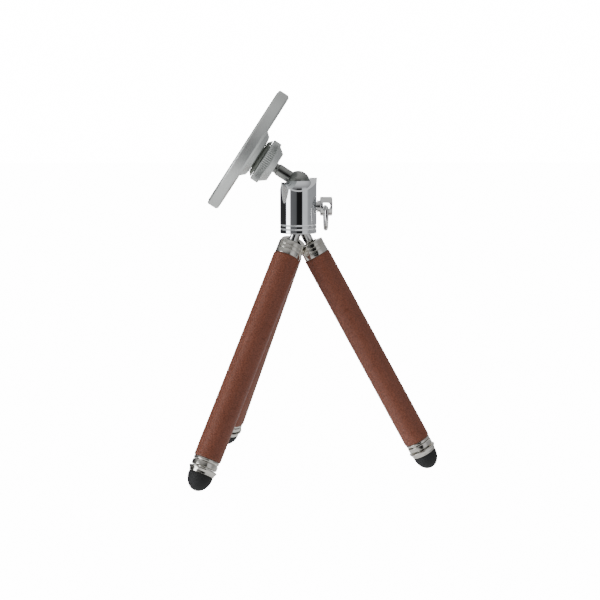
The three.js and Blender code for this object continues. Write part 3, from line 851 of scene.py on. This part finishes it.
def make_world():
    """A soft studio: a bright surround to look at, and panels of light and dark to reflect."""
    world = bpy.data.worlds.new("studio")
    bpy.context.scene.world = world
    world.use_nodes = True
    tree = world.node_tree
    tree.nodes.clear()

    def add(kind, **settings):
        made = tree.nodes.new("ShaderNode" + kind)
        for key, value in settings.items():
            setattr(made, key, value)
        return made

    def maths(operation, first, second=None):
        made = add("Math", operation=operation)
        for socket, value in zip(made.inputs, (first, second)):
            if value is None:
                continue
            if isinstance(value, bpy.types.NodeSocket):
                tree.links.new(value, socket)
            else:
                socket.default_value = value
        return made.outputs[0]

    direction = add("TexCoord").outputs["Generated"]
    parts = add("SeparateXYZ")
    tree.links.new(direction, parts.inputs[0])
    # Bearing runs from 0 to 1 clockwise from straight behind; 0.5 is the front.
    bearing = maths("ARCTAN2", parts.outputs["X"], maths("MULTIPLY", parts.outputs["Y"], -1.0))
    bearing = maths("ADD", maths("DIVIDE", bearing, 2 * math.pi), 0.5)
    ramp = add("ValToRGB").color_ramp
    ramp_node = ramp.id_data.nodes[-1]
    tree.links.new(bearing, ramp_node.inputs[0])
    while len(ramp.elements) < len(PANELS):
        ramp.elements.new(0.5)
    for element, (degrees, level) in zip(ramp.elements, PANELS):
        element.position = (degrees + 180) / 360
        element.color = (level, level * 1.01, level * 1.03, 1.0)
    roof_ramp = add("ValToRGB")
    tree.links.new(parts.outputs["Z"], roof_ramp.inputs[0])
    roof_ramp.color_ramp.interpolation = "EASE"
    roof_ramp.color_ramp.elements[0].position = CEILING_RISE[0]
    roof_ramp.color_ramp.elements[0].color = (0, 0, 0, 1)
    roof_ramp.color_ramp.elements[1].position = CEILING_RISE[1]
    roof_ramp.color_ramp.elements[1].color = (1, 1, 1, 1)
    fade_ramp = add("ValToRGB")
    tree.links.new(parts.outputs["Z"], fade_ramp.inputs[0])
    fade_ramp.color_ramp.elements[0].position = PANEL_FADE[0]
    fade_ramp.color_ramp.elements[0].color = (0, 0, 0, 1)
    fade_ramp.color_ramp.elements[1].position = PANEL_FADE[1]
    fade_ramp.color_ramp.elements[1].color = (1, 1, 1, 1)
    faded = add("Mix", data_type="RGBA")
    tree.links.new(fade_ramp.outputs["Color"], faded.inputs["Factor"])
    tree.links.new(ramp_node.outputs["Color"], faded.inputs[6])
    faded.inputs[7].default_value = (ABOVE_PANELS, ABOVE_PANELS, ABOVE_PANELS, 1)
    mixed = add("Mix", data_type="RGBA")
    tree.links.new(roof_ramp.outputs["Color"], mixed.inputs["Factor"])
    tree.links.new(faded.outputs[2], mixed.inputs[6])
    mixed.inputs[7].default_value = (CEILING, CEILING, CEILING, 1)
    low_ramp = add("ValToRGB")
    tree.links.new(maths("MULTIPLY", parts.outputs["Z"], -1.0), low_ramp.inputs[0])
    low_ramp.color_ramp.elements[0].position = TABLE_RISE[0]
    low_ramp.color_ramp.elements[0].color = (0, 0, 0, 1)
    low_ramp.color_ramp.elements[1].position = TABLE_RISE[1]
    low_ramp.color_ramp.elements[1].color = (1, 1, 1, 1)
    low = add("Mix", data_type="RGBA")
    tree.links.new(low_ramp.outputs["Color"], low.inputs["Factor"])
    tree.links.new(mixed.outputs[2], low.inputs[6])
    low.inputs[7].default_value = (TABLE_GLOW, TABLE_GLOW, TABLE_GLOW, 1)
    panels = add("Background")
    tree.links.new(low.outputs[2], panels.inputs["Color"])
    panels.inputs["Strength"].default_value = PANEL_STRENGTH
    bright = add("Background")
    bright.inputs["Color"].default_value = (1, 1, 1, 1)
    bright.inputs["Strength"].default_value = SURROUND
    choose = add("MixShader")
    tree.links.new(add("LightPath").outputs["Is Camera Ray"], choose.inputs[0])
    tree.links.new(panels.outputs[0], choose.inputs[1])
    tree.links.new(bright.outputs[0], choose.inputs[2])
    output = add("OutputWorld")
    tree.links.new(choose.outputs[0], output.inputs["Surface"])


# Bearing in degrees, clockwise from the front as seen from above, and how bright it is there.
PANELS = (
    (-180, 0.9), (-158, 0.9), (-153, 0.04), (-84, 0.03), (-80, 6.0), (-57, 6.0), (-54, 0.16),
    (-15, 0.12), (-9, 0.012), (22, 0.012), (27, 0.72), (52, 0.72), (66, 0.36), (150, 0.36), (158, 0.9),
    (180, 0.9),
)
CEILING = 0.72
PANEL_FADE = (0.25, 0.55)            # sine of the elevation over which the panels end
ABOVE_PANELS = 0.1
TABLE_GLOW = 0.9
CEILING_RISE = (0.12, 1.0)           # sines of the elevation where the ceiling begins and is full
TABLE_RISE = (0.25, 0.55)            # the same below the horizon, for the table top
PANEL_STRENGTH = 1.0
SURROUND = 16.0


def make_floor():
    """A pale table top, seen by the camera as bright as the surround."""
    mesh = bpy.data.meshes.new("table_top")
    mesh.from_pydata([(-6, -6, 0), (6, -6, 0), (6, 6, 0), (-6, 6, 0)], [], [(0, 1, 2, 3)])
    floor = bpy.data.objects.new("table_top", mesh)
    bpy.context.scene.collection.objects.link(floor)
    floor.location.z = -0.0002
    pale = bpy.data.materials.new("pale_table")
    pale.use_nodes = True
    main = next(n for n in pale.node_tree.nodes if n.type == "BSDF_PRINCIPLED")
    main.inputs["Base Color"].default_value = (0.9, 0.9, 0.9, 1)
    main.inputs["Roughness"].default_value = 0.9
    main.inputs["Emission Color"].default_value = (1, 1, 1, 1)
    main.inputs["Emission Strength"].default_value = SURROUND * 0.9
    mesh.materials.append(pale)
    floor.visible_diffuse = False
    floor.visible_glossy = False
    floor.visible_shadow = False


def make_camera():
    """A little above the middle of the disc, seen edge on, tipped down to hold the legs."""
    pitch = math.radians(CAMERA_PITCH)
    turn = Matrix.Rotation(math.radians(-CAMERA_TURN), 3, "Z")
    data = bpy.data.cameras.new("camera")
    data.sensor_width = 36
    data.lens = CAMERA_LENS
    data.clip_start = 0.01
    data.clip_end = 50
    camera = bpy.data.objects.new("camera", data)
    bpy.context.scene.collection.objects.link(camera)
    target = BARREL_FRAME.translation + Vector(CAMERA_AIM) * MM
    camera.location = target + turn @ Vector((0, -math.cos(pitch), math.sin(pitch))) * CAMERA_DISTANCE
    camera.rotation_euler = (math.pi / 2 - pitch, 0, -math.radians(CAMERA_TURN))
    bpy.context.scene.camera = camera


CAMERA_PITCH = 7.1
CAMERA_TURN = 1.9                    # degrees that the camera stands round to the disc's side
CAMERA_LENS = 81.0
CAMERA_DISTANCE = 0.5935
CAMERA_AIM = (0.75, 0.0, -29.45)     # from the middle of the barrel's bottom edge, in millimetres


make_world()
make_floor()
make_camera()
